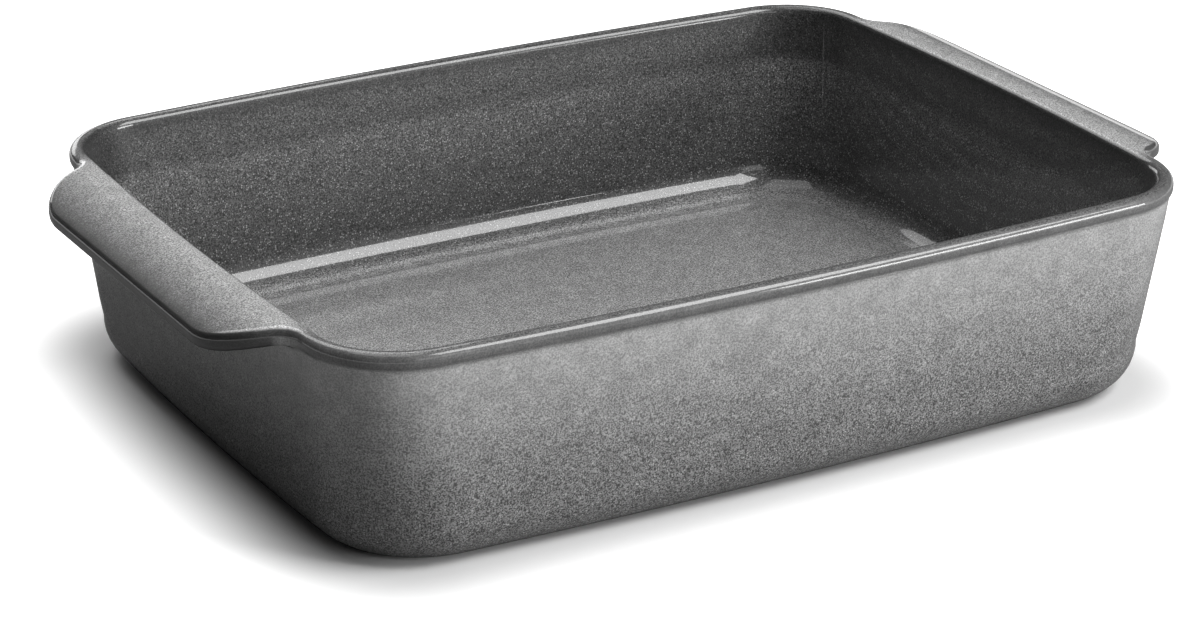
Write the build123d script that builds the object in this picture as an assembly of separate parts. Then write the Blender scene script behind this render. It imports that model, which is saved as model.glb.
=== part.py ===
from build123d import *

import math
import os

# A stoneware lasagna dish: a deep rectangular basin with a rounded lip, a broad ledge handle
# at each end and one coat of glaze over all but the bare foot ring.
# Millimetres, +Z up, the long side along X, the table at Z = 0.
# The sizes are those of the bare clay. Every function takes a coat, the thickness that is
# grown outwards from the clay, so the same lines shape the clay and the outside of the glaze.

# Lip in plan: the sides and the ends bow out a little between the corners
rim_length = 339.0
rim_width = 266.0
rim_height = 79.5
rim_corner_radius = 34.5
side_bow = 3.6
end_bow = 2.7

# Lip in section
lip_width = 5.0
lip_thickness = 5.6
lip_outer_round_share = 0.5
lip_inner_round_share = 0.46
lip_under_round_share = 0.75
lip_root_radius = 2.4

# Walls and floor
wall_inset_under_lip = 0.9
wall_corner_clearance = 1.6
wall_inset_at_base = 7.2
wall_thickness_at_floor = 4.6
base_corner_radius = 43.5
base_edge_radius = 16.0
floor_thickness = 5.5
cove_radius = 14.0

# Raised middle of the floor, with a gutter between it and the cove
gutter_width = 2.9
pad_height = 0.9
pad_round_share = 0.9

# Foot ring, left standing by a recess under the floor
foot_ring_width = 6.0
foot_recess_depth = 1.0
recess_round_share = 0.8

# Ledge handles, swept out of the ends of the lip
ledge_reach = 20.0
ledge_corner_radius = 30.0
ledge_flare_radius = 10.0
ledge_shoulder = 2.6
ledge_crown_radius = 43.5
joint_inset = 0.3

# Glaze, wiped off the foot ring and a band outside it
glaze_thickness = 0.5
bare_band_width = 7.5

# Overrun of every cut that passes through a face
overrun = 5.0

# A face is level if its normal is nearer upright than this share of a unit, and is a wall if it
# is taller than this share of the rim's height
level_share = 0.5
wall_height_share = 0.5


def bow_radius(half_chord, bow):
    """Radius of an arc that rises by a bow over a chord of twice half_chord."""
    return (half_chord ** 2 + bow ** 2) / (2 * bow)


side_radius = bow_radius(rim_length / 2 - rim_corner_radius, side_bow)
end_radius = bow_radius(rim_width / 2 - rim_corner_radius, end_bow)


def toward(start, target, distance):
    """Point at a distance from start, on the way to target."""
    share = distance / math.dist(start, target)
    return (start[0] + (target[0] - start[0]) * share, start[1] + (target[1] - start[1]) * share)


def arc_points(centre, radius, first, last):
    """First, middle and last point of the short arc round a centre."""
    halfway = ((first[0] + last[0]) / 2, (first[1] + last[1]) / 2)
    return [first, toward(centre, halfway, radius), last]


def mirrored(points, sign_x, sign_y):
    """The same points in another quarter of the plan."""
    return [(x * sign_x, y * sign_y) for x, y in points]


def corner_points(inset, corner):
    """Points of the corner arc that meets a bowed end and a bowed side smoothly, from the end on.

    The end's arc has its centre on the X axis and the side's arc has its centre on the Y axis.
    """
    side_centre = (0, rim_width / 2 - side_radius)
    end_centre = (rim_length / 2 - end_radius, 0)
    to_side = side_radius - inset - corner
    to_end = end_radius - inset - corner
    gap = math.dist(side_centre, end_centre)
    along = (to_side ** 2 - to_end ** 2 + gap ** 2) / (2 * gap)
    across = math.sqrt(to_side ** 2 - along ** 2)
    on_line = toward(side_centre, end_centre, along)
    centre = (
        on_line[0] + (end_centre[1] - side_centre[1]) / gap * across,
        on_line[1] - (end_centre[0] - side_centre[0]) / gap * across,
    )
    on_side = toward(side_centre, centre, side_radius - inset)
    on_end = toward(end_centre, centre, end_radius - inset)
    return arc_points(centre, corner, on_end, on_side)


def end_points(inset, low_y, high_y):
    """Points of the stretch of a bowed end between two distances from the X axis."""
    radius = end_radius - inset
    centre_x = rim_length / 2 - end_radius
    ends = [(centre_x + math.sqrt(radius ** 2 - y ** 2), y) for y in (low_y, high_y)]
    return arc_points((centre_x, 0), radius, *ends)


def side_points(inset, reach_x):
    """Points of a bowed side between two corners."""
    side_y = rim_width / 2 - inset
    corner_y = side_y - side_radius + inset + math.sqrt((side_radius - inset) ** 2 - reach_x ** 2)
    return [(-reach_x, corner_y), (0, side_y), (reach_x, corner_y)]


def face_at(height, outlines, lines=()):
    """Level face bounded by arcs and lines."""
    edges = [ThreePointArc(*points) for points in outlines] + [Line(*points) for points in lines]
    return Pos(0, 0, height) * make_face(Wire(edges))


def bowed_loop(height, inset, corner):
    """Rectangle with bowed sides and rounded corners, inset from the lip's outline."""
    quarter = corner_points(inset, corner)
    outlines = [mirrored(quarter, x, y) for x in (1, -1) for y in (1, -1)]
    outlines += [mirrored(end_points(inset, -quarter[0][1], quarter[0][1]), x, 1) for x in (1, -1)]
    outlines += [mirrored(side_points(inset, quarter[-1][0]), 1, y) for y in (1, -1)]
    return face_at(height, outlines)


def outer_loop(height, further):
    """Outline of the basin's base, set further in than the foot of the walls."""
    return bowed_loop(height, wall_inset_at_base + further, base_corner_radius - further)


def inner_loop(height, further):
    """Outline of the floor, set further in than the foot of the inner walls."""
    return outer_loop(height, wall_thickness_at_floor + further)


def lip_outline(height, coat):
    """Outer edge of the lip, with the two ledges swept out of its ends.

    Each half of a ledge is a hollow flare out of the lip's end, then a rounded corner, then
    half of the straight nose.
    """
    corner = corner_points(-coat, rim_corner_radius + coat)
    bare_corner = corner_points(0, rim_corner_radius)
    end_centre = (rim_length / 2 - end_radius, 0)
    lift = math.asin((bare_corner[0][1] - ledge_shoulder) / end_radius)
    flare_reach = end_radius + ledge_flare_radius
    flare_centre = (end_centre[0] + flare_reach * math.cos(lift), flare_reach * math.sin(lift))
    flare_start = toward(end_centre, flare_centre, end_radius + coat)

    nose_x = rim_length / 2 + ledge_reach
    round_x = nose_x - ledge_corner_radius
    fall = math.sqrt((ledge_flare_radius + ledge_corner_radius) ** 2 - (flare_centre[0] - round_x) ** 2)
    round_centre = (round_x, flare_centre[1] - fall)
    turn = toward(flare_centre, round_centre, ledge_flare_radius - coat)
    nose = (nose_x + coat, round_centre[1])

    shoulder = end_points(-coat, flare_start[1], corner[0][1])
    flare = arc_points(flare_centre, ledge_flare_radius - coat, flare_start, turn)
    rounded = arc_points(round_centre, ledge_corner_radius + coat, turn, nose)
    quarters = (corner, shoulder, flare, rounded)
    outlines = [mirrored(points, x, y) for points in quarters for x in (1, -1) for y in (1, -1)]
    outlines += [mirrored(side_points(-coat, corner[-1][0]), 1, y) for y in (1, -1)]
    noses = [mirrored([(nose[0], -nose[1]), nose], x, 1) for x in (1, -1)]
    return face_at(height, outlines, noses)


def crown_section(coat):
    """Section of the lip seen along Y: level over the basin, bending down over each ledge."""
    crown_x = (rim_length - lip_width) / 2
    centre = (crown_x, rim_height - ledge_crown_radius)
    far_angle = math.asin((ledge_reach + lip_width / 2 + overrun) / (ledge_crown_radius - lip_thickness))
    edges = []
    ends = []
    for radius in (ledge_crown_radius + coat, ledge_crown_radius - lip_thickness - coat):
        start = (crown_x, centre[1] + radius)
        finish = (crown_x + radius * math.sin(far_angle), centre[1] + radius * math.cos(far_angle))
        bend = arc_points(centre, radius, start, finish)
        edges.append(Line(*mirrored([(-crown_x, start[1]), start], 1, 1)))
        edges += [ThreePointArc(*mirrored(bend, sign, 1)) for sign in (1, -1)]
        ends.append(finish)
    edges += [Line(*mirrored(ends, sign, 1)) for sign in (1, -1)]
    return Plane.XZ * make_face(Wire(edges))


def outline_edges(faces):
    """Edges that belong to only one of the faces."""
    uses = {}
    for face in faces:
        for edge in face.edges():
            uses[edge] = uses.get(edge, 0) + 1
    return ShapeList([edge for edge, count in uses.items() if count == 1])


def facing(solid, direction):
    """Faces that look up (1) or down (-1)."""
    return solid.faces().filter_by(lambda face: face.normal_at().Z * direction > level_share)


def lowest_edges(solid):
    """Edges round a solid's lowest face."""
    return solid.faces().sort_by(Axis.Z)[0].edges()


def highest_edges(solid):
    """Edges round a solid's highest face."""
    return solid.faces().sort_by(Axis.Z)[-1].edges()


def under_round():
    """Radius under the outer edge of the lip and the ledges.

    The underside of a ledge meets its nose at a sharp angle, so the round is a share of the
    largest one that fits there.
    """
    fall = math.asin((ledge_reach + lip_width / 2) / (ledge_crown_radius - lip_thickness))
    half_edge = (math.pi / 2 - fall) / 2
    return lip_thickness * math.tan(half_edge) * lip_under_round_share


def lip(coat):
    """Lip and ledges as one solid plate, rounded along its outer edge above and below."""
    band = extrude(crown_section(coat), amount=rim_width / 2 + overrun, both=True)
    foot_z = rim_height - ledge_crown_radius
    column = extrude(lip_outline(foot_z, coat), amount=ledge_crown_radius + overrun)
    plate = band & column
    outer_round = min(lip_width, lip_thickness) * lip_outer_round_share
    plate = plate.fillet(outer_round + coat, outline_edges(facing(plate, 1)))
    return plate.fillet(under_round() + coat, outline_edges(facing(plate, -1)))


def bowl(coat):
    """Outside of the basin as a solid: tapered walls on a well rounded base.

    The corners of the walls are tighter than the lip's by a clearance, so that the seams beside
    them cross the lip clear of its own seams.
    """
    base = outer_loop(-coat, -coat)
    top_inset = wall_inset_under_lip - coat
    corner = rim_corner_radius - top_inset - wall_corner_clearance
    top = bowed_loop(rim_height - lip_thickness / 2, top_inset, corner)
    solid = loft([base, top], ruled=True)
    return solid.fillet(base_edge_radius + coat, lowest_edges(solid))


def floor_pad(coat):
    """Raised middle of the floor."""
    depth = pad_height + coat
    outline = inner_loop(foot_recess_depth + floor_thickness, cove_radius + gutter_width - coat)
    pad = extrude(outline, amount=depth)
    return pad.fillet(depth * pad_round_share, highest_edges(pad))


def hollow(coat):
    """Space inside the basin: tapered walls, a cove round the floor and the raised middle left out."""
    base = inner_loop(foot_recess_depth + floor_thickness + coat, coat)
    top_inset = lip_width + coat
    top = bowed_loop(rim_height + coat, top_inset, rim_corner_radius - top_inset)
    space = loft([base, top], ruled=True)
    return space.fillet(cove_radius - coat, lowest_edges(space)) - floor_pad(coat)


def root_edges(solid):
    """Edges along which the walls run into the lip and the ledges."""
    lowest = rim_height - 2 * lip_thickness
    found = ShapeList()
    for face in solid.faces():
        if face.bounding_box().size.Z > wall_height_share * rim_height:
            level = face.edges().filter_by(lambda edge: edge.bounding_box().min.Z > lowest)
            found += [edge for edge in level if edge not in found]
    return found


def dish(coat):
    """The whole dish in one piece, grown outwards by the coat."""
    body = bowl(coat) + lip(coat)
    body = body.fillet(lip_root_radius - coat, root_edges(body))
    body = body - hollow(coat)
    rim_face = body.faces().filter_by(GeomType.PLANE).sort_by(Axis.Z)[-1]
    inner_round = lip_width * lip_inner_round_share
    return body.fillet(inner_round + coat, rim_face.inner_wires()[0].edges())


def foot_recess():
    """Space under the floor that leaves the foot ring standing."""
    space = extrude(outer_loop(-overrun, base_edge_radius + foot_ring_width), amount=overrun + foot_recess_depth)
    return space.fillet(foot_recess_depth * recess_round_share, highest_edges(space))


def unglazed_space():
    """Space under and round the foot ring that the glaze is wiped from."""
    outline = outer_loop(-overrun, base_edge_radius - bare_band_width)
    return extrude(outline, amount=overrun + floor_thickness / 2)


def ledge_space(sign):
    """Everything beyond the joint between the lip and the ledge at one end."""
    joint_x = rim_length / 2 - joint_inset
    depth = ledge_reach + overrun
    centre = Pos(sign * (joint_x + depth / 2), 0, rim_height / 2)
    return centre * Box(depth, rim_width, rim_height + overrun)


os.makedirs("parts", exist_ok=True)

clay = dish(0)
left_space = ledge_space(-1)
right_space = ledge_space(1)
nodes = {
    "basin": clay - foot_recess() - left_space - right_space,
    "left_handle": clay & left_space,
    "right_handle": clay & right_space,
    "glaze": dish(glaze_thickness) - clay - unglazed_space(),
}
for name, shape in nodes.items():
    export_step(shape.solid(), f"parts/{name}.step")
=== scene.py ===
"""Looks of a stoneware lasagna dish: its speckled glaze, its bare foot, the studio and the camera.

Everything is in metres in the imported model's frame. The outline formulas below work in millimetres,
the unit the dish is dimensioned in, and are scaled when a vertex is placed.
"""

import logging
import math
from collections.abc import Callable
from dataclasses import dataclass, field
from enum import Enum

import bmesh
import bpy
from mathutils import Matrix, Vector


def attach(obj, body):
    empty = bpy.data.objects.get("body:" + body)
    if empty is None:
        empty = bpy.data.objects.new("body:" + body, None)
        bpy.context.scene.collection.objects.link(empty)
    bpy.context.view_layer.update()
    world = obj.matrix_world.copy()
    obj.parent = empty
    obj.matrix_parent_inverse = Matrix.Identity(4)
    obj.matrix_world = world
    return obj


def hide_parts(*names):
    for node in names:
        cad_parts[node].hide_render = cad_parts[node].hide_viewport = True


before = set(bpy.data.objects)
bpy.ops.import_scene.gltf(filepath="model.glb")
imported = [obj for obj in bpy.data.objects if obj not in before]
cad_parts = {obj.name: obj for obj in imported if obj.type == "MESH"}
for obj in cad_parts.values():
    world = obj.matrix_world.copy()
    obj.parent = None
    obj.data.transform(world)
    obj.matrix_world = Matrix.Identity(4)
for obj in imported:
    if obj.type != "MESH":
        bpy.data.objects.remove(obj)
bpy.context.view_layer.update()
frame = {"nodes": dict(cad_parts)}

MM = 0.001
MERGE_GAP = 0.004 * MM
GLASS_IOR = 1.5
WallLine = Callable[[float], tuple[float, float]]
Band = tuple[float, float]
log = logging.getLogger("lasagna_dish")


class Quarter(Enum):
    """The four quarters of the plan, in the order a ring passes through them."""

    RIGHT_FAR = (1, 1)
    LEFT_FAR = (-1, 1)
    LEFT_NEAR = (-1, -1)
    RIGHT_NEAR = (1, -1)


@dataclass(frozen=True)
class PlanPoint:
    """A point of an outline in plan, with its outward normal."""

    place: Vector
    normal: Vector

    def inward(self, distance: float) -> Vector:
        """Place at a distance along the normal into the shape."""
        return self.place - self.normal * distance


@dataclass(frozen=True)
class BowedRectangle:
    """Rounded rectangle whose sides and ends bow out a little, in millimetres."""

    length: float = 339.0
    width: float = 265.9
    side_bow: float = 3.6
    end_bow: float = 2.7
    corner_radius: float = 34.5
    corner_steps: int = 20
    side_steps: int = 12

    @staticmethod
    def bow_radius(half_chord: float, bow: float) -> float:
        """Radius of an arc that rises by a bow over a chord of twice half_chord."""
        return (half_chord**2 + bow**2) / (2 * bow)

    @property
    def side_radius(self) -> float:
        """Radius that the long sides bow with."""
        return self.bow_radius(self.length / 2 - self.corner_radius, self.side_bow)

    @property
    def end_radius(self) -> float:
        """Radius that the ends bow with."""
        return self.bow_radius(self.width / 2 - self.corner_radius, self.end_bow)

    @property
    def side_centre(self) -> Vector:
        """Centre of the far side's arc."""
        return Vector((0.0, self.width / 2 - self.side_radius))

    @property
    def end_centre(self) -> Vector:
        """Centre of the right end's arc."""
        return Vector((self.length / 2 - self.end_radius, 0.0))

    def corner_centre(self, inset: float, corner: float) -> Vector:
        """Centre of the corner arc that touches both bowed arcs.

        Args:
            inset: How far the outline is set in from the lip's outline.
            corner: Radius of its corner.

        Returns:
            The centre in the right far quarter.
        """
        to_side = self.side_radius - inset - corner
        to_end = self.end_radius - inset - corner
        across_line = self.end_centre - self.side_centre
        gap = across_line.length
        along = (to_side**2 - to_end**2 + gap**2) / (2 * gap)
        across = math.sqrt(to_side**2 - along**2)
        unit = across_line / gap
        return self.side_centre + unit * along + Vector((unit.y, -unit.x)) * across

    def corner_arc(self, inset: float, corner: float) -> tuple[Vector, float, float]:
        """Centre and the first and last direction of a corner arc.

        Args:
            inset: How far the outline is set in from the lip's outline.
            corner: Radius of its corner.

        Returns:
            The centre, the direction in which it meets the end and that in which it meets the side.
        """
        centre = self.corner_centre(inset, corner)
        from_end = centre - self.end_centre
        from_side = centre - self.side_centre
        return centre, math.atan2(from_end.y, from_end.x), math.atan2(from_side.y, from_side.x)

    def end_point(self, inset: float, y: float) -> PlanPoint:
        """Point of the bowed right end at a distance from the X axis."""
        radius = self.end_radius - inset
        place = Vector((self.end_centre.x + math.sqrt(radius**2 - y**2), y))
        return PlanPoint(place, (place - self.end_centre).normalized())

    def side_point(self, inset: float, x: float) -> PlanPoint:
        """Point of the bowed far side at a distance from the Y axis."""
        radius = self.side_radius - inset
        place = Vector((x, self.side_centre.y + math.sqrt(radius**2 - x**2)))
        return PlanPoint(place, (place - self.side_centre).normalized())

    def quarter(self, inset: float, corner: float, end_shares: list[float]) -> list[PlanPoint]:
        """Points of the right far quarter of an outline, from the end's middle to the side's.

        Args:
            inset: How far the outline is set in from the lip's outline.
            corner: Radius of its corner.
            end_shares: How far each of the end's points is along the end, from 0 to 1.

        Returns:
            One point for each step of the end, the corner and the side.
        """
        centre, first, last = self.corner_arc(inset, corner)
        corner_y = centre.y + corner * math.sin(first)
        points = [self.end_point(inset, corner_y * share) for share in end_shares]
        for step in range(1, self.corner_steps + 1):
            turn = first + (last - first) * step / self.corner_steps
            normal = Vector((math.cos(turn), math.sin(turn)))
            points.append(PlanPoint(centre + normal * corner, normal))
        corner_x = points[-1].place.x
        for step in range(1, self.side_steps + 1):
            points.append(self.side_point(inset, corner_x * (1 - step / self.side_steps)))
        return points


@dataclass(frozen=True)
class LedgeOutline:
    """Outer edge of the lip with a ledge handle swept out of each end, in millimetres."""

    rim: BowedRectangle
    coat: float
    reach: float = 20.0
    corner_radius: float = 30.0
    flare_radius: float = 10.0
    shoulder: float = 2.6
    nose_steps: int = 8
    corner_steps: int = 14
    flare_steps: int = 16
    shoulder_steps: int = 4

    def centres(self) -> tuple[Vector, Vector]:
        """Centres of the flare's arc and of the ledge's corner arc."""
        rim = self.rim
        centre, first, _ = rim.corner_arc(0.0, rim.corner_radius)
        corner_y = centre.y + rim.corner_radius * math.sin(first)
        lift = math.asin((corner_y - self.shoulder) / rim.end_radius)
        reach = rim.end_radius + self.flare_radius
        flare = rim.end_centre + Vector((math.cos(lift), math.sin(lift))) * reach
        round_x = rim.length / 2 + self.reach - self.corner_radius
        both = self.flare_radius + self.corner_radius
        fall = math.sqrt(both**2 - (flare.x - round_x) ** 2)
        return flare, Vector((round_x, flare.y - fall))

    def end_points(self) -> list[PlanPoint]:
        """Points of half a ledge, from the middle of its nose to the lip's corner.

        Returns:
            The nose, the rounded corner, the hollow flare and the shoulder, one after another.
        """
        flare, rounded = self.centres()
        nose_x = self.rim.length / 2 + self.reach + self.coat
        points = []
        for step in range(self.nose_steps + 1):
            place = Vector((nose_x, rounded.y * step / self.nose_steps))
            points.append(PlanPoint(place, Vector((1.0, 0.0))))
        turn = math.atan2(flare.y - rounded.y, flare.x - rounded.x)
        for step in range(1, self.corner_steps + 1):
            angle = turn * step / self.corner_steps
            normal = Vector((math.cos(angle), math.sin(angle)))
            points.append(PlanPoint(rounded + normal * (self.corner_radius + self.coat), normal))
        start = self.rim.end_centre - flare
        last = math.atan2(start.y, start.x)
        first = turn - math.pi
        for step in range(1, self.flare_steps + 1):
            angle = first + (last - first) * step / self.flare_steps
            normal = Vector((-math.cos(angle), -math.sin(angle)))
            points.append(PlanPoint(flare - normal * (self.flare_radius - self.coat), normal))
        centre, first, _ = self.rim.corner_arc(-self.coat, self.rim.corner_radius + self.coat)
        corner_y = centre.y + (self.rim.corner_radius + self.coat) * math.sin(first)
        flare_y = points[-1].place.y
        for step in range(1, self.shoulder_steps + 1):
            y = flare_y + (corner_y - flare_y) * step / self.shoulder_steps
            points.append(self.rim.end_point(-self.coat, y))
        return points

    def end_shares(self) -> list[float]:
        """How far each point of the end is from the X axis, as shares of the corner's distance."""
        points = self.end_points()
        return [point.place.y / points[-1].place.y for point in points]

    def quarter(self) -> list[PlanPoint]:
        """Points of the right far quarter, a ledge's half, the corner and half of the side."""
        corner = self.rim.corner_radius + self.coat
        plain = self.rim.quarter(-self.coat, corner, self.end_shares())
        ledge = self.end_points()
        return ledge + plain[len(ledge):]


@dataclass(frozen=True)
class Station:
    """One ring of a skin: a place in plan and a height for each point of a quarter."""

    places: list[Vector]
    heights: list[float]


@dataclass
class DishSurface:
    """Surface of the dish, grown outwards from the bare clay by a coat, as rings of points.

    All sizes are in millimetres and are those of the clay, as in the part's own drawing.
    """

    coat: float = 0.0
    rim_height: float = 79.5
    lip_width: float = 5.0
    lip_thickness: float = 5.6
    outer_round: float = 2.5
    inner_round: float = 2.3
    under_round: float = 2.1185
    root_radius: float = 2.4
    inset_under_lip: float = 0.9
    wall_corner_clearance: float = 1.6
    inset_at_base: float = 7.2
    wall_thickness: float = 4.6
    base_corner_radius: float = 43.5
    base_edge_radius: float = 16.0
    floor_level: float = 6.5
    cove_radius: float = 14.0
    gutter_width: float = 2.9
    pad_height: float = 0.9
    pad_round_share: float = 0.9
    bare_band_width: float = 7.5
    crown_radius: float = 43.5
    ledge_steps: int = 12
    rim: BowedRectangle = field(default_factory=BowedRectangle)

    def __post_init__(self) -> None:
        """Works out the outlines that every ring is measured from."""
        self.edge = LedgeOutline(self.rim, self.coat)
        self.shares = self.edge.end_shares()
        self.outline = self.edge.quarter()
        self.crown_x = (self.rim.length - self.lip_width) / 2
        self.crown_z = self.rim_height - self.crown_radius

    def loop(self, inset: float, corner: float) -> list[PlanPoint]:
        """Quarter of a plain outline, with a point for each point of the lip's edge."""
        return self.rim.quarter(inset, corner, self.shares)

    def bent_height(self, x: float, radius: float) -> float:
        """Height of a surface that is level over the basin and bends down over each ledge."""
        beyond = max(0.0, abs(x) - self.crown_x)
        return self.crown_z + math.sqrt(radius**2 - beyond**2)

    def bend_slope(self, point: PlanPoint, radius: float) -> float:
        """Angle by which that surface falls along a point's normal."""
        beyond = max(0.0, abs(point.place.x) - self.crown_x)
        return math.atan(beyond / math.sqrt(radius**2 - beyond**2) * abs(point.normal.x))

    def wall_line(self, height: float) -> tuple[float, float]:
        """Inset and corner radius of the outer wall at a height."""
        coat = self.coat
        share = (height + coat) / (self.rim_height - self.lip_thickness / 2 + coat)
        low_inset = self.inset_at_base - coat
        high_inset = self.inset_under_lip - coat
        low_corner = self.base_corner_radius + coat
        high_corner = self.rim.corner_radius - high_inset - self.wall_corner_clearance
        return (
            low_inset + (high_inset - low_inset) * share,
            low_corner + (high_corner - low_corner) * share,
        )

    def inner_line(self, height: float) -> tuple[float, float]:
        """Inset and corner radius of the inner wall at a height."""
        coat = self.coat
        low, high = self.floor_level + coat, self.rim_height + coat
        share = (height - low) / (high - low)
        low_inset = self.inset_at_base + self.wall_thickness + coat
        high_inset = self.lip_width + coat
        low_corner = self.base_corner_radius - self.wall_thickness - coat
        high_corner = self.rim.corner_radius - high_inset
        return (
            low_inset + (high_inset - low_inset) * share,
            low_corner + (high_corner - low_corner) * share,
        )

    @staticmethod
    def lean(line: WallLine, height: float) -> float:
        """Angle by which a wall leans outwards at a height."""
        return math.atan(line(height - 0.5)[0] - line(height + 0.5)[0])

    @staticmethod
    def level(points: list[PlanPoint], height: float) -> Station:
        """Ring at one height."""
        return Station([point.place for point in points], [height] * len(points))

    def base_stations(self) -> list[Station]:
        """Rings from the glaze line round the base's edge to the foot of the wall."""
        radius = self.base_edge_radius + self.coat
        centre_z = self.base_edge_radius
        wall_inset, wall_corner = self.wall_line(centre_z)
        lean = self.lean(self.wall_line, centre_z)
        centre_inset = wall_inset + radius / math.cos(lean)
        line_inset = self.inset_at_base + self.base_edge_radius - self.bare_band_width
        first = math.acos((centre_inset - line_inset) / radius)
        rings = []
        for step in range(9):
            turn = first + (-lean - first) * step / 8
            inset = centre_inset - radius * math.cos(turn)
            corner = wall_corner - (inset - wall_inset)
            rings.append(self.level(self.loop(inset, corner), centre_z - radius * math.sin(turn)))
        return rings

    def wall_stations(self, line: WallLine, low: float, high: float, steps: int) -> list[Station]:
        """Rings of a straight leaning wall, both ends left out.

        Args:
            line: Gives the wall's inset and corner radius at a height.
            low: Height that the rings start from.
            high: Height that they lead to.
            steps: Number of steps between the two.

        Returns:
            One ring fewer than there are steps.
        """
        rings = []
        for step in range(1, steps):
            height = low + (high - low) * step / steps
            rings.append(self.level(self.loop(*line(height)), height))
        return rings

    def under_stations(self) -> list[Station]:
        """Rings from the wall through the root hollow, under the ledges and round the lower edge."""
        coat = self.coat
        hollow, convex = self.root_radius - coat, self.under_round + coat
        lower = self.crown_radius - self.lip_thickness - coat
        under = self.rim_height - self.lip_thickness - coat
        wall = self.loop(*self.wall_line(under - hollow))
        lean = self.lean(self.wall_line, under)
        rounds = []
        for root, edge in zip(wall, self.outline):
            gap = max((edge.place - root.place).dot(root.normal), 0.05)
            spread = gap / (hollow + convex)
            extra = self.bend_slope(edge, lower) * min(1.0, max(0.0, spread - 1.0))
            turn = math.acos(1 - spread) if spread < 1 else math.pi / 2 + extra
            rounds.append((root, edge, min(turn, math.pi / 2), turn))
        rings = []
        for step in range(7):
            places, heights = [], []
            for root, _, root_turn, _ in rounds:
                turn = -lean + (root_turn + lean) * step / 6
                place = root.place + root.normal * hollow * (1 - math.cos(turn))
                sunk = convex - (hollow + convex) * math.sin(root_turn)
                places.append(place)
                heights.append(self.bent_height(place.x, lower) + sunk + hollow * math.sin(turn))
            rings.append(Station(places, heights))
        for step in range(1, self.ledge_steps):
            places, heights = [], []
            for root, edge, root_turn, turn in rounds:
                share = step / self.ledge_steps
                start = root.place + root.normal * hollow * (1 - math.cos(root_turn))
                end = edge.inward(convex * (1 - math.cos(turn)))
                place = start.lerp(end, share)
                places.append(place)
                sunk = convex * (1 - math.sin(root_turn))
                heights.append(self.bent_height(place.x, lower) + sunk)
            rings.append(Station(places, heights))
        for step in range(8):
            places, heights = [], []
            for root, edge, _, full in rounds:
                turn = full * (1 - step / 7)
                slope = self.bend_slope(edge, lower)
                centre_z = self.bent_height(edge.inward(convex).x, lower) + convex / math.cos(slope)
                places.append(edge.inward(convex * (1 - math.cos(turn))))
                heights.append(centre_z - convex * math.sin(turn))
            rings.append(Station(places, heights))
        return rings

    def top_stations(self) -> list[Station]:
        """Rings round the upper edge, over the ledges and the lip and round its inner edge."""
        coat = self.coat
        outer, inner = self.outer_round + coat, self.inner_round + coat
        upper = self.crown_radius + coat
        rings = []
        starts = []
        for step in range(9):
            places, heights = [], []
            for edge in self.outline:
                slope = self.bend_slope(edge, upper)
                turn = (math.pi / 2 - slope) * step / 8
                centre_z = self.bent_height(edge.inward(outer).x, upper) - outer / math.cos(slope)
                places.append(edge.inward(outer * (1 - math.cos(turn))))
                heights.append(centre_z + outer * math.sin(turn))
            rings.append(Station(places, heights))
            starts = places
        centre_z = self.rim_height + coat - inner
        wall_inset, wall_corner = self.inner_line(centre_z)
        lean = self.lean(self.inner_line, centre_z)
        centre_inset = wall_inset - inner / math.cos(lean)
        crest = self.loop(centre_inset, self.rim.corner_radius - centre_inset)
        for step in range(1, self.ledge_steps):
            share = step / self.ledge_steps
            places = [start.lerp(end.place, share) for start, end in zip(starts, crest)]
            rings.append(Station(places, [self.bent_height(place.x, upper) for place in places]))
        for step in range(9):
            turn = math.pi / 2 + (lean - math.pi / 2) * step / 8
            inset = centre_inset + inner * math.cos(turn)
            plain = self.rim.corner_radius - inset
            corner = plain + (wall_corner - (inset - wall_inset) - plain) * step / 8
            rings.append(self.level(self.loop(inset, corner), centre_z + inner * math.sin(turn)))
        return rings

    def floor_stations(self) -> list[Station]:
        """Rings round the cove, across the gutter and over the raised middle of the floor."""
        coat = self.coat
        radius = self.cove_radius - coat
        centre_z = self.floor_level + coat + radius
        wall_inset, wall_corner = self.inner_line(centre_z)
        lean = self.lean(self.inner_line, centre_z)
        centre_inset = wall_inset + radius / math.cos(lean)
        rings = []
        for step in range(13):
            turn = -lean + (math.pi / 2 + lean) * step / 12
            inset = centre_inset - radius * math.cos(turn)
            corner = wall_corner - (inset - wall_inset)
            rings.append(self.level(self.loop(inset, corner), centre_z - radius * math.sin(turn)))
        pad_inset = (
            self.inset_at_base + self.wall_thickness + self.cove_radius + self.gutter_width - coat
        )
        pad_corner = self.base_corner_radius + self.inset_at_base - pad_inset
        depth = self.pad_height + coat
        rounding = depth * self.pad_round_share
        pad_z = self.floor_level + depth - rounding
        first = math.asin((self.floor_level + coat - pad_z) / rounding)
        middle = (centre_inset + pad_inset) / 2
        rings.append(self.level(self.loop(middle, pad_corner + pad_inset - middle), centre_z - radius))
        for step in range(7):
            turn = first + (math.pi / 2 - first) * step / 6
            further = rounding * (1 - math.cos(turn))
            outline = self.loop(pad_inset + further, pad_corner - further)
            rings.append(self.level(outline, pad_z + rounding * math.sin(turn)))
        for further in (3.0, 7.0, 12.0):
            outline = self.loop(pad_inset + further, pad_corner - further)
            rings.append(self.level(outline, self.floor_level + depth))
        return rings

    def stations(self) -> list[Station]:
        """Every ring in order, from the glaze line over the rim to the floor."""
        base = self.base_stations()
        under = self.under_stations()
        top = self.top_stations()
        floor = self.floor_stations()
        outside = self.wall_stations(self.wall_line, base[-1].heights[0], min(under[0].heights), 8)
        inside = self.wall_stations(self.inner_line, top[-1].heights[0], floor[0].heights[0], 8)
        return base + outside + under + top + inside + floor


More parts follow.
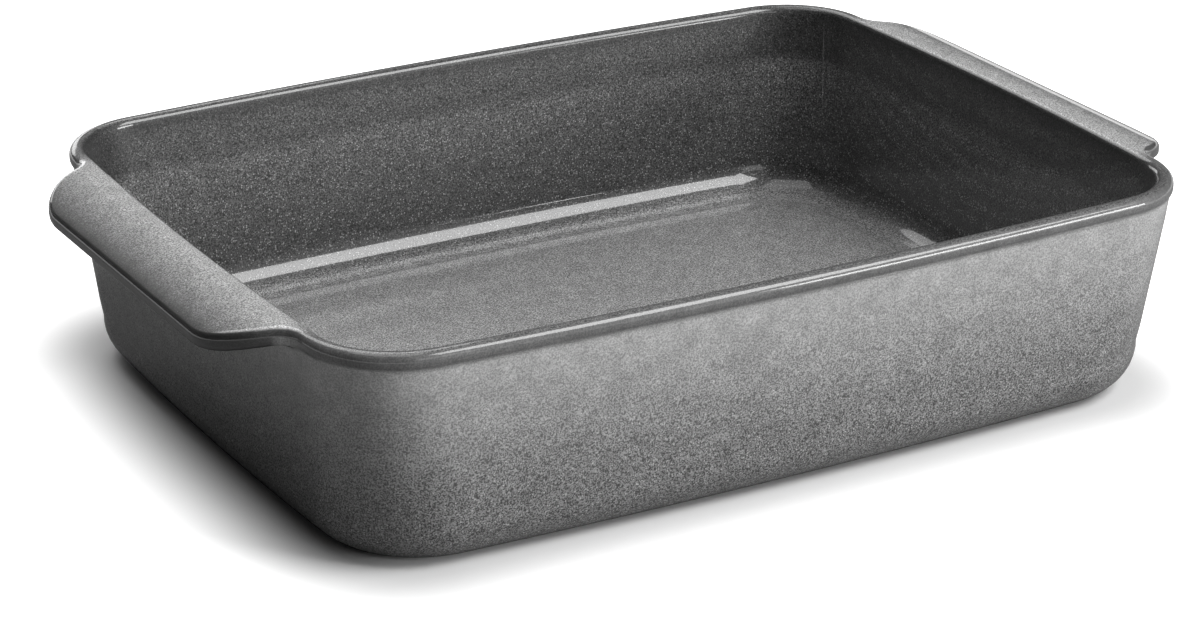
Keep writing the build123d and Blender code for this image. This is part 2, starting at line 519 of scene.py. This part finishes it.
@dataclass
class GlazeCoat:
    """The coat of glaze over the basin and both ledge handles, as one closed skin."""

    thickness: float = 0.5

    def stations(self) -> list[Station]:
        """Rings from the floor out over the rim to the glaze line and back along the clay."""
        outside = DishSurface(self.thickness).stations()
        return outside[::-1] + DishSurface(0.0).stations()

    @staticmethod
    def set_ring(verts: list[bmesh.types.BMVert], station: Station) -> None:
        """Puts the vertices of a ring at a station, mirrored into all four quarters.

        Args:
            verts: The ring's vertices in order, the first on the +X axis.
            station: The places and heights of one quarter.
        """
        steps = len(station.places) - 1
        for number, quarter in enumerate(Quarter):
            sign_x, sign_y = quarter.value
            for step in range(steps):
                index = step if number % 2 == 0 else steps - step
                place, height = station.places[index], station.heights[index]
                vert = verts[number * steps + step]
                vert.co = Vector((place.x * sign_x, place.y * sign_y, height)) * MM

    @staticmethod
    def ring_edges(ring: list[bmesh.types.BMVert]) -> list[bmesh.types.BMEdge]:
        """Edges that join the vertices of a ring, in order."""
        return [
            next(edge for edge in first.link_edges if edge.other_vert(first) is second)
            for first, second in zip(ring, ring[1:] + ring[:1])
        ]

    @staticmethod
    def partner(vert: bmesh.types.BMVert, fresh: set[bmesh.types.BMVert]) -> bmesh.types.BMVert:
        """Vertex that an extrusion made from an older one."""
        return next(
            edge.other_vert(vert) for edge in vert.link_edges if edge.other_vert(vert) in fresh
        )

    def skin(self) -> bmesh.types.BMesh:
        """Closed skin of the coat, extruded ring by ring from one circle.

        Returns:
            The skin, its faces outwards.
        """
        stations = self.stations()
        count = 4 * (len(stations[0].places) - 1)
        mesh = bmesh.new()
        bmesh.ops.create_circle(mesh, segments=count, radius=1.0)
        ring = sorted(mesh.verts, key=lambda vert: math.atan2(vert.co.y, vert.co.x) % math.tau)
        self.set_ring(ring, stations[0])
        bmesh.ops.edgeloop_fill(mesh, edges=self.ring_edges(ring))
        for station in stations[1:]:
            made = bmesh.ops.extrude_edge_only(mesh, edges=self.ring_edges(ring))["geom"]
            fresh = {item for item in made if isinstance(item, bmesh.types.BMVert)}
            ring = [self.partner(vert, fresh) for vert in ring]
            self.set_ring(ring, station)
        bmesh.ops.edgeloop_fill(mesh, edges=self.ring_edges(ring))
        bmesh.ops.remove_doubles(mesh, verts=mesh.verts, dist=MERGE_GAP)
        bmesh.ops.recalc_face_normals(mesh, faces=mesh.faces)
        return mesh

    def build(self, material: bpy.types.Material) -> bpy.types.Object:
        """Makes the coat as a piece of the scene.

        Args:
            material: The finish of the glaze.

        Returns:
            The coat's object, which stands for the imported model's own glaze.
        """
        mesh = self.skin()
        data = bpy.data.meshes.new("glaze_coat")
        mesh.to_mesh(data)
        mesh.free()
        data.shade_smooth()
        data.materials.append(material)
        coat = bpy.data.objects.new("glaze_coat", data)
        bpy.context.scene.collection.objects.link(coat)
        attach(coat, "root")
        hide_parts("glaze")
        return coat


class NodeSheet:
    """Short ways to lay out the nodes of one material or node group."""

    def __init__(self, tree: bpy.types.NodeTree) -> None:
        """Keeps the tree that the nodes are added to."""
        self.tree = tree

    def node(self, kind: str, **values: object) -> bpy.types.Node:
        """Adds a node and sets its properties."""
        made = self.tree.nodes.new(kind)
        for name, value in values.items():
            setattr(made, name, value)
        return made

    def link(self, source: bpy.types.NodeSocket, target: bpy.types.NodeSocket) -> None:
        """Joins an output to an input."""
        self.tree.links.new(source, target)

    def math(self, operation: str, first: object, second: object = 0.0) -> bpy.types.NodeSocket:
        """Adds a Math node.

        Args:
            operation: What the node works out.
            first: Its first input, a socket or a number.
            second: Its second input.

        Returns:
            The node's output.
        """
        made = self.node("ShaderNodeMath", operation=operation)
        for socket, value in zip(made.inputs, (first, second)):
            if isinstance(value, bpy.types.NodeSocket):
                self.link(value, socket)
            else:
                socket.default_value = value
        return made.outputs[0]

    def lift(self, value: bpy.types.NodeSocket, scale: float, base: float) -> bpy.types.NodeSocket:
        """Adds a node that gives value times scale plus base.

        Args:
            value: What is scaled.
            scale: What it is multiplied by.
            base: What is added.

        Returns:
            The node's output.
        """
        made = self.math("MULTIPLY_ADD", value, scale)
        made.node.inputs[2].default_value = base
        return made

    def rise(self, value: bpy.types.NodeSocket, start: float, end: float) -> bpy.types.NodeSocket:
        """Adds a smooth step from 0 where a value is start to 1 where it is end.

        Args:
            value: What is measured.
            start: The value that gives 0.
            end: The value that gives 1.

        Returns:
            The mask.
        """
        step = self.node("ShaderNodeMapRange", interpolation_type="SMOOTHSTEP")
        step.inputs["From Min"].default_value = start
        step.inputs["From Max"].default_value = end
        self.link(value, step.inputs["Value"])
        return step.outputs["Result"]

    def axes(self, output: str) -> dict[str, bpy.types.NodeSocket]:
        """X, Y and Z of a texture coordinate, such as Object or Normal, as sockets by name."""
        split = self.node("ShaderNodeSeparateXYZ")
        self.link(self.node("ShaderNodeTexCoord").outputs[output], split.inputs["Vector"])
        return {axis: split.outputs[axis] for axis in "XYZ"}

    def paint(self, grey: bpy.types.NodeSocket, target: bpy.types.NodeSocket) -> None:
        """Joins a grey value to a colour input."""
        colour = self.node("ShaderNodeCombineColor")
        for channel in ("Red", "Green", "Blue"):
            self.link(grey, colour.inputs[channel])
        self.link(colour.outputs["Color"], target)

    def ramp(
        self, factor: bpy.types.NodeSocket, stops: list[tuple[float, float]]
    ) -> bpy.types.NodeSocket:
        """Adds a colour ramp of greys over a value.

        Args:
            factor: The value.
            stops: Positions and greys in order.

        Returns:
            The ramp's colour output.
        """
        made = self.node("ShaderNodeValToRGB")
        ramp = made.color_ramp
        while len(ramp.elements) < len(stops):
            ramp.elements.new(0.5)
        for element, (position, grey) in zip(ramp.elements, stops):
            element.position = position
            element.color = (grey, grey, grey, 1.0)
        self.link(factor, made.inputs["Fac"])
        return made.outputs["Color"]


class SpeckleGroup:
    """Shared pattern of fired specks: fine grain, scattered pale specks and broad mottling."""

    NAME = "fired_specks"
    SPECK_EDGE: Band = (0.52, 0.26)
    FAINTEST = 0.4
    GRAIN_STOPS = [(0.42, 0.0), (0.58, 1.0)]
    MOTTLE_STOPS = [(0.3, 0.0), (0.7, 1.0)]

    @classmethod
    def get(cls) -> bpy.types.NodeTree:
        """The node group, made once."""
        return bpy.data.node_groups.get(cls.NAME) or cls.make()

    @classmethod
    def make(cls) -> bpy.types.NodeTree:
        """Builds the group.

        Returns:
            A group with the inputs Grain Scale, Speck Scale, Speck Share and Mottle Scale, and the
            outputs Grain, Specks and Mottle, each a mask from 0 to 1.
        """
        tree = bpy.data.node_groups.new(cls.NAME, "ShaderNodeTree")
        for name, value in (
            ("Grain Scale", 1500.0),
            ("Speck Scale", 700.0),
            ("Speck Share", 0.2),
            ("Mottle Scale", 30.0),
        ):
            socket = tree.interface.new_socket(name, in_out="INPUT", socket_type="NodeSocketFloat")
            socket.default_value = value
        for name in ("Grain", "Specks", "Mottle"):
            tree.interface.new_socket(name, in_out="OUTPUT", socket_type="NodeSocketFloat")
        sheet = NodeSheet(tree)
        given = sheet.node("NodeGroupInput")
        put = sheet.node("NodeGroupOutput")
        place = sheet.node("ShaderNodeTexCoord").outputs["Object"]

        grain = sheet.node("ShaderNodeTexNoise", noise_dimensions="3D")
        grain.inputs["Detail"].default_value = 2.0
        grain.inputs["Roughness"].default_value = 0.65
        sheet.link(place, grain.inputs["Vector"])
        sheet.link(given.outputs["Grain Scale"], grain.inputs["Scale"])
        sheet.link(sheet.ramp(grain.outputs["Fac"], cls.GRAIN_STOPS), put.inputs["Grain"])

        cells = sheet.node("ShaderNodeTexVoronoi", feature="F1")
        cells.inputs["Randomness"].default_value = 1.0
        sheet.link(place, cells.inputs["Vector"])
        sheet.link(given.outputs["Speck Scale"], cells.inputs["Scale"])
        chance = sheet.node("ShaderNodeSeparateColor")
        sheet.link(cells.outputs["Color"], chance.inputs["Color"])
        chosen = sheet.math("LESS_THAN", chance.outputs["Red"], given.outputs["Speck Share"])
        near = sheet.rise(cells.outputs["Distance"], *cls.SPECK_EDGE)
        strength = sheet.math("MULTIPLY", near, chosen)
        varied = sheet.lift(chance.outputs["Green"], 1.0 - cls.FAINTEST, cls.FAINTEST)
        sheet.link(sheet.math("MULTIPLY", strength, varied), put.inputs["Specks"])

        mottle = sheet.node("ShaderNodeTexNoise", noise_dimensions="3D")
        mottle.inputs["Detail"].default_value = 4.0
        mottle.inputs["Roughness"].default_value = 0.55
        sheet.link(place, mottle.inputs["Vector"])
        sheet.link(given.outputs["Mottle Scale"], mottle.inputs["Scale"])
        sheet.link(sheet.ramp(mottle.outputs["Fac"], cls.MOTTLE_STOPS), put.inputs["Mottle"])
        return tree


@dataclass(frozen=True)
class SpeckleSettings:
    """Scales of the specks on one material, in features per metre."""

    grain_scale: float
    speck_scale: float
    speck_share: float
    mottle_scale: float

    def place(self, sheet: NodeSheet) -> bpy.types.Node:
        """Adds the shared group with these values."""
        group = sheet.node("ShaderNodeGroup", node_tree=SpeckleGroup.get())
        group.inputs["Grain Scale"].default_value = self.grain_scale
        group.inputs["Speck Scale"].default_value = self.speck_scale
        group.inputs["Speck Share"].default_value = self.speck_share
        group.inputs["Mottle Scale"].default_value = self.mottle_scale
        return group


@dataclass(frozen=True)
class GlazeFinish:
    """Dark satin glaze full of fine pale specks. Its tone carries painted light and shade: lighter
    towards the rim, on the floor and at the ledges' joints, and darker on the inner walls, the rounded
    edges and the ledges' noses. On the outer walls towards the rim the specks are calmed as painted
    sheen.

    Each band holds the two values of a measure, in metres or as part of a direction, between which
    a mask rises from 0 to 1.
    """

    name: str = "speckled_glaze"
    dark: float = 0.045
    pale: float = 0.32
    speck: float = 0.40
    mottling: float = 0.30
    # Painted light: the tone is raised towards the rim.
    rim_painted_light: float = 1.45
    # Painted shade: the inner walls' tone is lowered.
    inner_painted_shade: float = 0.32
    # Painted light: the floor's tone is raised.
    floor_painted_light: float = 1.55
    # Painted shade: the rounded edges' tone is lowered, on the rim's crest weighted by rim_share.
    edge_painted_shade: float = 0.16
    rim_share: float = 0.84
    # Painted light at the ledges' joints, falling to painted shade at their noses.
    joint_painted_light: float = 1.15
    nose_painted_shade: float = 0.35
    ledge_calm: float = 0.22
    # Painted sheen: the specks are calmed on the outer walls towards the rim.
    rim_painted_sheen: float = 0.7
    # Heights over which the painted light and the painted sheen rise towards the rim.
    painted_light_band: Band = (0.012, 0.080)
    # Facing outwards, where the painted sheen lies.
    outer_band: Band = (0.15, 0.60)
    # Facing inwards, where the painted shade lies.
    inner_band: Band = (-0.15, -0.65)
    # Level and low: the floor that gets painted light.
    level_band: Band = (0.45, 0.85)
    floor_band: Band = (0.030, 0.015)
    # Bands of the painted shade on the rounded edges.
    high_band: Band = (0.056, 0.062)
    turned_band: Band = (0.95, 0.76)
    open_band: Band = (0.02, 0.16)
    past_lip_band: Band = (0.1695, 0.1740)
    crest_band: Band = (0.0738, 0.0754)
    along_band: Band = (0.156, 0.163)
    across_band: Band = (0.100, 0.084)
    ledge_band: Band = (0.158, 0.165)
    ledge_height_band: Band = (0.060, 0.066)
    # Reach of the painted light and shade across the ledges.
    fade_band: Band = (0.165, 0.190)
    grain_roughness: float = 0.10
    roughness: float = 0.42
    coat_roughness: float = 0.06
    specks: SpeckleSettings = SpeckleSettings(1750.0, 1500.0, 0.24, 150.0)

    def painted_light_rise(self, sheet: NodeSheet) -> bpy.types.NodeSocket:
        """Mask that rises from the foot to the rim, for the painted light and the painted sheen there.

        Args:
            sheet: The material's nodes.

        Returns:
            A value from 0 at the foot to 1 at the rim.
        """
        return sheet.rise(sheet.axes("Object")["Z"], *self.painted_light_band)

    def facing(self, sheet: NodeSheet) -> bpy.types.NodeSocket:
        """How far a face looks away from the dish's middle.

        Args:
            sheet: The material's nodes.

        Returns:
            A value from -1 on the inner walls, through 0 on level faces, to 1 on the outer walls.
        """
        texture = sheet.node("ShaderNodeTexCoord")
        flat = sheet.node("ShaderNodeVectorMath", operation="MULTIPLY")
        sheet.link(texture.outputs["Object"], flat.inputs[0])
        flat.inputs[1].default_value = (1.0, 1.0, 0.0)
        away = sheet.node("ShaderNodeVectorMath", operation="NORMALIZE")
        sheet.link(flat.outputs["Vector"], away.inputs[0])
        facing = sheet.node("ShaderNodeVectorMath", operation="DOT_PRODUCT")
        sheet.link(away.outputs["Vector"], facing.inputs[0])
        sheet.link(texture.outputs["Normal"], facing.inputs[1])
        return facing.outputs["Value"]

    def painted_floor_light_mask(self, sheet: NodeSheet) -> bpy.types.NodeSocket:
        """Mask of the floor inside, which gets painted light: its tone is raised.

        Args:
            sheet: The material's nodes.

        Returns:
            A value from 0 elsewhere to 1 on the floor.
        """
        level = sheet.rise(sheet.axes("Normal")["Z"], *self.level_band)
        low = sheet.rise(sheet.axes("Object")["Z"], *self.floor_band)
        return sheet.math("MULTIPLY", level, low)

    def painted_edge_shade_mask(self, sheet: NodeSheet) -> bpy.types.NodeSocket:
        """Mask of the rounded edges, the rim and the ledges' noses, that get painted shade.

        Args:
            sheet: The material's nodes.

        Returns:
            A value from 0 on the open faces to 1 on the edges.
        """
        place, slope = sheet.axes("Object"), sheet.axes("Normal")["Z"]
        high = sheet.rise(place["Z"], *self.high_band)
        turned = sheet.rise(slope, *self.turned_band)
        open_wall = sheet.rise(slope, *self.open_band)
        reach = sheet.math("ABSOLUTE", place["X"])
        rounded = sheet.math("MAXIMUM", open_wall, sheet.rise(reach, *self.past_lip_band))
        round_edge = sheet.math("MULTIPLY", sheet.math("MULTIPLY", high, turned), rounded)
        crest = sheet.rise(place["Z"], *self.crest_band)
        along = sheet.rise(reach, *self.along_band)
        across = sheet.rise(sheet.math("ABSOLUTE", place["Y"]), *self.across_band)
        elsewhere = sheet.math("SUBTRACT", 1.0, sheet.math("MULTIPLY", along, across))
        rim = sheet.math("MULTIPLY", sheet.math("MULTIPLY", crest, elsewhere), self.rim_share)
        share = sheet.lift(elsewhere, self.rim_share - 1.0, 1.0)
        ledge_edge = sheet.math("MULTIPLY", round_edge, share)
        return sheet.math("MAXIMUM", rim, ledge_edge)

    def on_ledge(self, sheet: NodeSheet) -> bpy.types.NodeSocket:
        """Mask of the two ledges.

        Args:
            sheet: The material's nodes.

        Returns:
            A value from 0 elsewhere to 1 on the ledges.
        """
        place = sheet.axes("Object")
        past_lip = sheet.rise(sheet.math("ABSOLUTE", place["X"]), *self.ledge_band)
        return sheet.math("MULTIPLY", past_lip, sheet.rise(place["Z"], *self.ledge_height_band))

    def painted_ledge_light(self, sheet: NodeSheet) -> bpy.types.NodeSocket:
        """Painted light and shade across each ledge: a gain that falls from the lip's joint to the
        nose.

        Args:
            sheet: The material's nodes.

        Returns:
            The gain, 1 off the ledges.
        """
        reach = sheet.math("ABSOLUTE", sheet.axes("Object")["X"])
        across = sheet.rise(reach, *self.fade_band)
        gain = sheet.lift(across, self.nose_painted_shade - self.joint_painted_light, self.joint_painted_light - 1.0)
        return sheet.lift(sheet.math("MULTIPLY", gain, self.on_ledge(sheet)), 1.0, 1.0)

    def make(self) -> bpy.types.Material:
        """Builds the material.

        Returns:
            The glaze, for the coat.
        """
        material = bpy.data.materials.new(self.name)
        material.use_nodes = True
        sheet = NodeSheet(material.node_tree)
        shader = material.node_tree.nodes["Principled BSDF"]
        masks = self.specks.place(sheet)
        # Painted light and painted sheen rise with height towards the rim.
        painted_rise = self.painted_light_rise(sheet)
        facing = self.facing(sheet)
        outside = sheet.math("MULTIPLY", painted_rise, sheet.rise(facing, *self.outer_band))
        ledge = self.on_ledge(sheet)
        # Painted sheen calms the specks on the outer walls towards the rim. The ledges' specks are
        # calmer too.
        sheen_and_ledge_calm = sheet.math(
            "MAXIMUM",
            sheet.math("MULTIPLY", outside, self.rim_painted_sheen),
            sheet.math("MULTIPLY", ledge, self.ledge_calm),
        )
        body = sheet.lift(masks.outputs["Grain"], self.pale - self.dark, self.dark)
        ground = sheet.node("ShaderNodeMix", data_type="FLOAT")
        sheet.link(sheen_and_ledge_calm, ground.inputs["Factor"])
        sheet.link(body, ground.inputs["A"])
        ground.inputs["B"].default_value = (self.dark + self.pale) / 2
        # Mottling, then painted light towards the rim, painted shade on the inner walls, painted light
        # on the floor and painted light and shade across the ledges.
        mottle_and_painted_light_gains = (
            sheet.lift(masks.outputs["Mottle"], self.mottling, 1.0 - self.mottling / 2),
            sheet.lift(painted_rise, self.rim_painted_light, 1.0),
            sheet.lift(sheet.rise(facing, *self.inner_band), self.inner_painted_shade - 1.0, 1.0),
            sheet.lift(self.painted_floor_light_mask(sheet), self.floor_painted_light - 1.0, 1.0),
            self.painted_ledge_light(sheet),
        )
        tone = ground.outputs["Result"]
        for gain in mottle_and_painted_light_gains:
            tone = sheet.math("MULTIPLY", tone, gain)
        strength = sheet.lift(sheen_and_ledge_calm, -self.speck, self.speck)
        bright = sheet.math("MULTIPLY", masks.outputs["Specks"], strength)
        speckled = sheet.math("ADD", tone, bright)
        # Painted shade on the rounded edges of the rim and the ledges.
        edge = sheet.lift(self.painted_edge_shade_mask(sheet), self.edge_painted_shade - 1.0, 1.0)
        grey = sheet.math("MULTIPLY", speckled, edge)
        sheet.paint(grey, shader.inputs["Base Color"])
        rough = sheet.lift(masks.outputs["Grain"], self.grain_roughness, self.roughness)
        sheet.link(rough, shader.inputs["Roughness"])
        shader.inputs["IOR"].default_value = GLASS_IOR
        shader.inputs["Coat Weight"].default_value = 1.0
        shader.inputs["Coat Roughness"].default_value = self.coat_roughness
        shader.inputs["Coat IOR"].default_value = GLASS_IOR
        return material


@dataclass(frozen=True)
class BareClayFinish:
    """Unglazed fired stoneware: matt, finely gritty, with a few dark specks."""

    name: str = "bare_stoneware"
    dark: float = 0.20
    pale: float = 0.42
    roughness: float = 0.85
    grit: float = 0.25
    grit_base: float = 0.80
    spot_depth: float = 0.6
    bump_strength: float = 0.5
    bump_height: float = 0.0002
    specks: SpeckleSettings = SpeckleSettings(900.0, 420.0, 0.12, 40.0)

    def make(self) -> bpy.types.Material:
        """Builds the material.

        Returns:
            The bare clay, for the foot and the bodies under the glaze.
        """
        material = bpy.data.materials.new(self.name)
        material.use_nodes = True
        sheet = NodeSheet(material.node_tree)
        shader = material.node_tree.nodes["Principled BSDF"]
        masks = self.specks.place(sheet)
        body = sheet.lift(masks.outputs["Mottle"], self.pale - self.dark, self.dark)
        grit = sheet.lift(masks.outputs["Grain"], self.grit, self.grit_base)
        toned = sheet.math("MULTIPLY", body, grit)
        dots = sheet.math("MULTIPLY", masks.outputs["Specks"], -self.spot_depth)
        spotted = sheet.math("MULTIPLY", toned, sheet.math("ADD", dots, 1.0))
        sheet.paint(spotted, shader.inputs["Base Color"])
        shader.inputs["Roughness"].default_value = self.roughness
        bump = sheet.node("ShaderNodeBump")
        bump.inputs["Strength"].default_value = self.bump_strength
        bump.inputs["Distance"].default_value = self.bump_height
        sheet.link(masks.outputs["Grain"], bump.inputs["Height"])
        sheet.link(bump.outputs["Normal"], shader.inputs["Normal"])
        return material


@dataclass(frozen=True)
class ClayBody:
    """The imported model's own clay solids, which show only at the foot."""

    nodes: tuple[str, ...] = ("basin", "left_handle", "right_handle")

    def dress(self, nodes: dict[str, bpy.types.Object], material: bpy.types.Material) -> None:
        """Gives every clay solid the bare clay.

        Args:
            nodes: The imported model's objects by name.
            material: The bare clay.
        """
        for name in self.nodes:
            data = nodes[name].data
            data.materials.clear()
            data.materials.append(material)


@dataclass(frozen=True)
class Softbox:
    """A rectangular studio lamp aimed at the dish, in metres and watts."""

    name: str
    place: tuple[float, float, float]
    target: tuple[float, float, float]
    width: float
    height: float
    power: float

    def build(self) -> bpy.types.Object:
        """Puts the lamp in the scene.

        Returns:
            The lamp's object.
        """
        data = bpy.data.lights.new(self.name, "AREA")
        data.shape = "RECTANGLE"
        data.size = self.width
        data.size_y = self.height
        data.energy = self.power
        lamp = bpy.data.objects.new(self.name, data)
        aim = Vector(self.target) - Vector(self.place)
        lamp.location = self.place
        lamp.rotation_mode = "QUATERNION"
        lamp.rotation_quaternion = aim.to_track_quat("-Z", "Y")
        bpy.context.scene.collection.objects.link(lamp)
        return lamp


@dataclass(frozen=True)
class Studio:
    """Pale floor, soft lamps and an even pale surround."""

    floor_half: float = 6.0
    floor_grey: float = 0.95
    bounce_grey: float = 0.28
    footprint: tuple[float, float] = (0.130, 0.095)
    clear_from: float = 0.025
    clear_to: float = 0.075
    mirror_from: float = 0.30
    mirror_to: float = 0.90
    surround: float = 0.02
    lamps: tuple[Softbox, ...] = (
        Softbox("front_lamp", (0.1, -2.0, 0.9), (0.0, 0.0, 0.04), 1.0, 0.8, 4.0),
        Softbox("low_lamp", (1.5, -1.8, 0.4), (0.0, 0.0, 0.04), 1.0, 0.6, 27.0),
        Softbox("key_lamp", (0.85, -1.05, 1.6), (0.0, 0.0, 0.04), 0.95, 1.1, 28.0),
        Softbox("far_lamp", (0.1, 1.3, 1.6), (0.0, 0.0, 0.04), 1.4, 1.0, 11.0),
        Softbox("top_lamp", (-0.2, 0.2, 1.9), (0.0, 0.0, 0.04), 1.2, 1.2, 7.0),
        Softbox("back_lamp", (0.0, 2.0, 0.5), (0.0, 0.0, 0.04), 1.0, 0.5, 4.0),
    )

    def floor_material(self) -> bpy.types.Material:
        """Pale matt floor, white away from the dish and its shadow.

        Returns:
            The floor's material. It throws back less light than it shows.
        """
        material = bpy.data.materials.new("studio_floor")
        material.use_nodes = True
        sheet = NodeSheet(material.node_tree)
        shader = material.node_tree.nodes["Principled BSDF"]
        path = sheet.node("ShaderNodeLightPath")
        seen = path.outputs["Is Camera Ray"]
        through = path.outputs["Is Transmission Ray"]
        mirrored = sheet.math("MAXIMUM", path.outputs["Is Glossy Ray"], through)
        tone = sheet.lift(seen, self.floor_grey - self.bounce_grey, self.bounce_grey)
        sheet.paint(tone, shader.inputs["Base Color"])
        side = sheet.node("ShaderNodeVectorMath", operation="ABSOLUTE")
        sheet.link(sheet.node("ShaderNodeTexCoord").outputs["Object"], side.inputs[0])
        past = sheet.node("ShaderNodeVectorMath", operation="SUBTRACT")
        sheet.link(side.outputs["Vector"], past.inputs[0])
        past.inputs[1].default_value = (*self.footprint, 0.0)
        beyond = sheet.node("ShaderNodeVectorMath", operation="MAXIMUM")
        sheet.link(past.outputs["Vector"], beyond.inputs[0])
        away = sheet.node("ShaderNodeVectorMath", operation="LENGTH")
        sheet.link(beyond.outputs["Vector"], away.inputs[0])
        near = sheet.rise(away.outputs["Value"], self.clear_from, self.clear_to)
        far = sheet.rise(away.outputs["Value"], self.mirror_from, self.mirror_to)
        shown = sheet.math("MULTIPLY", near, seen)
        mirror = sheet.math("MULTIPLY", far, mirrored)
        sheet.link(sheet.math("MAXIMUM", shown, mirror), shader.inputs["Emission Strength"])
        shader.inputs["Emission Color"].default_value = (1.0, 1.0, 1.0, 1.0)
        shader.inputs["Roughness"].default_value = 0.9
        shader.inputs["Specular IOR Level"].default_value = 0.0
        return material

    def build_floor(self) -> bpy.types.Object:
        """Lays the floor under the dish.

        Returns:
            The floor's object.
        """
        mesh = bmesh.new()
        bmesh.ops.create_grid(mesh, x_segments=1, y_segments=1, size=self.floor_half)
        data = bpy.data.meshes.new("studio_floor")
        mesh.to_mesh(data)
        mesh.free()
        data.materials.append(self.floor_material())
        floor = bpy.data.objects.new("studio_floor", data)
        bpy.context.scene.collection.objects.link(floor)
        return floor

    def build_surround(self) -> bpy.types.World:
        """Even pale light from all sides.

        Returns:
            The scene's world.
        """
        world = bpy.data.worlds.new("studio_surround")
        world.use_nodes = True
        background = world.node_tree.nodes["Background"]
        background.inputs["Color"].default_value = (1.0, 1.0, 1.0, 1.0)
        background.inputs["Strength"].default_value = self.surround
        bpy.context.scene.world = world
        return world

    def build(self) -> None:
        """Builds the floor, the surround and the lamps."""
        self.build_floor()
        self.build_surround()
        for lamp in self.lamps:
            lamp.build()
            log.info("lamp %s", lamp.name)


@dataclass(frozen=True)
class ViewCamera:
    """Camera at the viewing angle of the picture that the dish is matched to, in metres and radians."""

    place: tuple[float, float, float] = (-0.59736, -1.06325, 0.51756)
    yaw: float = 0.50750
    pitch: float = 0.38795
    roll: float = -0.00608
    lens: float = 108.775

    def axes(self) -> Matrix:
        """Right, up and back directions of the camera as the columns of a matrix.

        Returns:
            The camera's rotation.
        """
        level = math.cos(self.pitch)
        ahead = Vector((math.sin(self.yaw) * level, math.cos(self.yaw) * level, -math.sin(self.pitch)))
        right = Vector((math.cos(self.yaw), -math.sin(self.yaw), 0.0))
        up = right.cross(ahead)
        cos_roll, sin_roll = math.cos(self.roll), math.sin(self.roll)
        rolled_right = right * cos_roll + up * sin_roll
        rolled_up = up * cos_roll - right * sin_roll
        return Matrix((rolled_right, rolled_up, -ahead)).transposed()

    def build(self) -> bpy.types.Object:
        """Puts the camera in the scene and makes it the active one.

        Returns:
            The camera's object.
        """
        data = bpy.data.cameras.new("view_camera")
        data.sensor_width = 36.0
        data.sensor_fit = "HORIZONTAL"
        data.lens = self.lens
        data.clip_start = 0.05
        data.clip_end = 60.0
        camera = bpy.data.objects.new("view_camera", data)
        camera.matrix_world = Matrix.Translation(self.place) @ self.axes().to_4x4()
        bpy.context.scene.collection.objects.link(camera)
        bpy.context.scene.camera = camera
        return camera


def main() -> None:
    """Builds the dish's looks, the studio and the camera."""
    logging.basicConfig(level=logging.INFO, format="%(name)s: %(message)s")
    bpy.context.scene.view_settings.view_transform = "Standard"
    coat = GlazeCoat().build(GlazeFinish().make())
    log.info("piece %s: %d faces", coat.name, len(coat.data.polygons))
    ClayBody().dress(frame["nodes"], BareClayFinish().make())
    log.info("clay solids dressed")
    Studio().build()
    ViewCamera().build()


if __name__ == "__main__":
    main()
